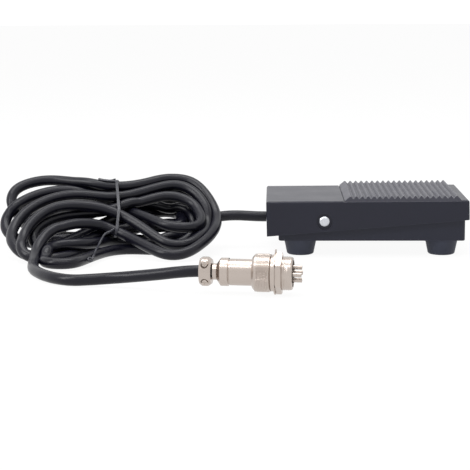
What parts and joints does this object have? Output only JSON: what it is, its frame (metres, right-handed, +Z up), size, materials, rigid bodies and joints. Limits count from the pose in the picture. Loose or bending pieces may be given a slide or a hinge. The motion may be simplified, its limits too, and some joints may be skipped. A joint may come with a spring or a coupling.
{
  "type": "foot switch",
  "caption": "Low foot switch: hinged cover with a ribbed rubber tread over a tray on rubber feet, with a hanked cord that ends in a mated round metal plug and panel socket.",
  "frame": {"origin": "on the floor under the middle of the pedal cover, measured without the cord and connector", "axes": "+X towards the toe end, +Y to the far side, +Z up"},
  "size_m": [0.2578, 0.1804, 0.041],
  "materials": {
    "cover": "moulded, fine grain, satin",
    "tray": "moulded, fine grain, satin",
    "tread": "matte moulded rubber",
    "foot_rubber": "matte",
    "zinc_steel": "bright zinc",
    "spring_steel": "bright",
    "switch_case": "satin thermoset",
    "brass": "bright",
    "plunger": "smooth",
    "cord_jacket": "satin vinyl",
    "wire_pale": "smooth vinyl",
    "wire_red": "smooth vinyl",
    "tie": "paper-thin vinyl over wire",
    "nickel": "warm satin nickel plate",
    "insert": "moulded phenolic"
  },
  "bodies": {
    "base": {"base_shell": "tray", "foot_heel_near": "foot_rubber", "foot_heel_far": "foot_rubber", "foot_toe_near": "foot_rubber", "foot_toe_far": "foot_rubber", "foot_screws": "zinc_steel", "pivot_screw_near": "zinc_steel", "pivot_screw_far": "zinc_steel", "return_spring": "spring_steel", "snap_switch_case": "switch_case", "snap_switch_terminals": "brass", "snap_switch_screws": "zinc_steel", "cord_grommet": "cord_jacket", "cord_clamp_bar": "switch_case", "cord_clamp_screws": "zinc_steel", "wire_common": "wire_pale", "wire_switched": "wire_red", "cord_lead": "cord_jacket", "cord_hank": "cord_jacket", "hank_tie": "tie", "cord_tail": "cord_jacket", "plug_clamp_saddle": "nickel", "plug_clamp_screws": "nickel", "plug_shell": "nickel", "plug_insert": "insert", "plug_contacts": "nickel", "plug_wires": "wire_pale"},
    "pedal": {"pedal_cover": "cover", "tread_pad": "tread"},
    "switch_lever": {"snap_switch_lever": "spring_steel"},
    "switch_plunger": {"snap_switch_plunger": "plunger"},
    "coupling_ring": {"plug_coupling_ring": "nickel"},
    "socket": {"socket_shell": "nickel", "socket_insert": "insert", "socket_pins": "nickel", "socket_lock_washer": "nickel"},
    "panel_nut": {"socket_nut": "nickel"}
  },
  "joints": [
    {"name": "pedal_hinge", "type": "hinge", "parent": "base", "child": "pedal", "pos_m": [-0.0233, 0, 0.0192], "axis": [0, 1, 0], "range_deg": [0, 3.6], "stiffness_Nm_per_rad": 4, "springref_deg": -3.44, "deforming": ["return_spring"]},
    {"name": "lever_hinge", "type": "hinge", "parent": "base", "child": "switch_lever", "pos_m": [-0.0142, 0, 0.02501], "axis": [0, 1, 0], "range_deg": [0, 6]},
    {"name": "plunger_slide", "type": "slide", "parent": "base", "child": "switch_plunger", "axis": [0, 0, -1], "range_m": [0, 0.0007]},
    {"name": "coupling_ring_turn", "type": "hinge", "parent": "base", "child": "coupling_ring", "pos_m": [-0.05562, -0.13546, 0.01024], "axis": [0.9925, -0.1219, -0.0035], "continuous": true},
    {"name": "socket_slide", "type": "slide", "parent": "base", "child": "socket", "axis": [0.9925, -0.1219, -0.0035], "range_m": [0, 0.012]},
    {"name": "nut_turn", "type": "hinge", "parent": "socket", "child": "panel_nut", "pos_m": [-0.04785, -0.13641, 0.01022], "axis": [0.9925, -0.1219, -0.0035], "continuous": true}
  ],
  "couplings": [
    {"joint": "lever_hinge", "follows": "pedal_hinge", "ratio": 1.66},
    {"joint": "plunger_slide", "follows": "pedal_hinge", "m_per_rad": 0.0109}
  ]
}
